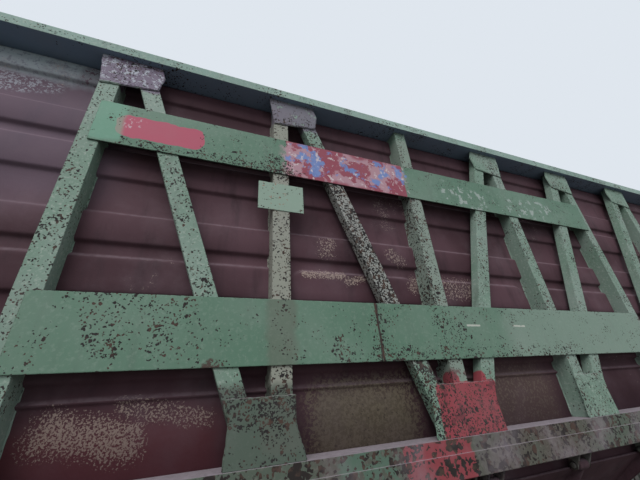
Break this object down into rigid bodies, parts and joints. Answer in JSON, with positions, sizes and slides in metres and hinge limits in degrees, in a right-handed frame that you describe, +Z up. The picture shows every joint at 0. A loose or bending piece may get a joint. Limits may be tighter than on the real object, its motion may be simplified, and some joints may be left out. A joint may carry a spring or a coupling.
{
  "type": "open hopper wagon",
  "caption": "Four-axle open hopper wagon for ore pellets, with trussed sides, pressed panels, sloping ends and side hatches.",
  "frame": {"origin": "on the floor under the middle of the wagon, where the wheel flanges stand", "axes": "+X along the wagon to its front end, +Y to its left side, +Z up"},
  "size_m": [11.9972, 3.13, 3.2948],
  "materials": {
    "green_paint": "old sea-green paint, chipped to rust",
    "panel_paint": "dull maroon paint with pale ore dust",
    "sill_paint": "black-brown paint, heavily chipped",
    "frame_paint": "dark brown paint over rust",
    "bare_plate": "rusty plate worn by pellets",
    "cast_steel": "rusty cast steel",
    "wheel_steel": "rolled steel, bright on the tread",
    "brake_paint": "black paint"
  },
  "bodies": {
    "body": {"centre_sill": "frame_paint", "top_frame": "green_paint", "saddle": "bare_plate", "hand_brake": "brake_paint", "hand_wheel": "brake_paint", "brake_cylinder": "brake_paint", "air_reservoir": "brake_paint", "side_sill_left": "sill_paint", "side_wall_left": "panel_paint", "side_truss_left": "green_paint", "side_bands_left": "green_paint", "throat_sheet_left": "bare_plate", "cylinder_bracket_left": "frame_paint", "side_sill_right": "sill_paint", "side_wall_right": "panel_paint", "side_truss_right": "green_paint", "side_bands_right": "green_paint", "throat_sheet_right": "bare_plate", "cylinder_bracket_right": "frame_paint", "end_slope_front": "bare_plate", "end_sill_front": "frame_paint", "end_posts_front": "green_paint", "end_beam_front": "green_paint", "platform_front": "frame_paint", "body_bolster_front": "frame_paint", "ladder_front": "brake_paint", "coupler_front": "cast_steel", "end_slope_rear": "bare_plate", "end_sill_rear": "frame_paint", "end_posts_rear": "green_paint", "end_beam_rear": "green_paint", "platform_rear": "frame_paint", "body_bolster_rear": "frame_paint", "ladder_rear": "brake_paint", "coupler_rear": "cast_steel"},
    "hatch_left": {"hatch_left": "bare_plate"},
    "barrel_left": {"cylinder_barrel_left": "brake_paint"},
    "rod_left": {"cylinder_rod_left": "wheel_steel"},
    "hatch_right": {"hatch_right": "bare_plate"},
    "barrel_right": {"cylinder_barrel_right": "brake_paint"},
    "rod_right": {"cylinder_rod_right": "wheel_steel"},
    "bogie_front": {"bogie_side_frames_front": "cast_steel", "bogie_bolster_front": "cast_steel", "bogie_springs_front": "cast_steel", "axle_boxes_front": "cast_steel", "brake_gear_front": "brake_paint"},
    "bogie_rear": {"bogie_side_frames_rear": "cast_steel", "bogie_bolster_rear": "cast_steel", "bogie_springs_rear": "cast_steel", "axle_boxes_rear": "cast_steel", "brake_gear_rear": "brake_paint"},
    "wheelset_1": {"wheels_1": "wheel_steel", "axle_1": "wheel_steel"},
    "wheelset_2": {"wheels_2": "wheel_steel", "axle_2": "wheel_steel"},
    "wheelset_3": {"wheels_3": "wheel_steel", "axle_3": "wheel_steel"},
    "wheelset_4": {"wheels_4": "wheel_steel", "axle_4": "wheel_steel"}
  },
  "joints": [
    {"name": "left_hatch", "type": "hinge", "parent": "body", "child": "hatch_left", "pos_m": [0, 1.462, 0.905], "axis": [1, 0, 0], "range_deg": [0, 32]},
    {"name": "left_cylinder_swing", "type": "hinge", "parent": "body", "child": "barrel_left", "pos_m": [0, 0.285, 0.79], "axis": [1, 0, 0], "range_deg": [-2.5, 0.5]},
    {"name": "left_cylinder_stroke", "type": "slide", "parent": "barrel_left", "child": "rod_left", "axis": [0, 0.92, -0.3918], "range_m": [0, 0.335]},
    {"name": "right_hatch", "type": "hinge", "parent": "body", "child": "hatch_right", "pos_m": [0, -1.462, 0.905], "axis": [-1, 0, 0], "range_deg": [0, 32]},
    {"name": "right_cylinder_swing", "type": "hinge", "parent": "body", "child": "barrel_right", "pos_m": [0, -0.285, 0.79], "axis": [-1, 0, 0], "range_deg": [-2.5, 0.5]},
    {"name": "right_cylinder_stroke", "type": "slide", "parent": "barrel_right", "child": "rod_right", "axis": [0, -0.92, -0.3918], "range_m": [0, 0.335]},
    {"name": "front_bogie", "type": "hinge", "parent": "body", "child": "bogie_front", "pos_m": [3.895, 0, 0.834], "axis": [0, 0, 1], "range_deg": [-5, 5]},
    {"name": "rear_bogie", "type": "hinge", "parent": "body", "child": "bogie_rear", "pos_m": [-3.895, 0, 0.834], "axis": [0, 0, 1], "range_deg": [-5, 5]},
    {"name": "wheelset_1_spin", "type": "hinge", "parent": "bogie_front", "child": "wheelset_1", "pos_m": [4.82, 0, 0.503], "axis": [0, 1, 0], "continuous": true},
    {"name": "wheelset_2_spin", "type": "hinge", "parent": "bogie_front", "child": "wheelset_2", "pos_m": [2.97, 0, 0.503], "axis": [0, 1, 0], "continuous": true},
    {"name": "wheelset_3_spin", "type": "hinge", "parent": "bogie_rear", "child": "wheelset_3", "pos_m": [-2.97, 0, 0.503], "axis": [0, 1, 0], "continuous": true},
    {"name": "wheelset_4_spin", "type": "hinge", "parent": "bogie_rear", "child": "wheelset_4", "pos_m": [-4.82, 0, 0.503], "axis": [0, 1, 0], "continuous": true}
  ],
  "couplings": [
    {"joint": "left_cylinder_swing", "follows": "left_hatch", "ratio": -0.0652},
    {"joint": "left_cylinder_stroke", "follows": "left_hatch", "m_per_rad": 0.5925},
    {"joint": "right_cylinder_swing", "follows": "right_hatch", "ratio": -0.0652},
    {"joint": "right_cylinder_stroke", "follows": "right_hatch", "m_per_rad": 0.5925}
  ]
}
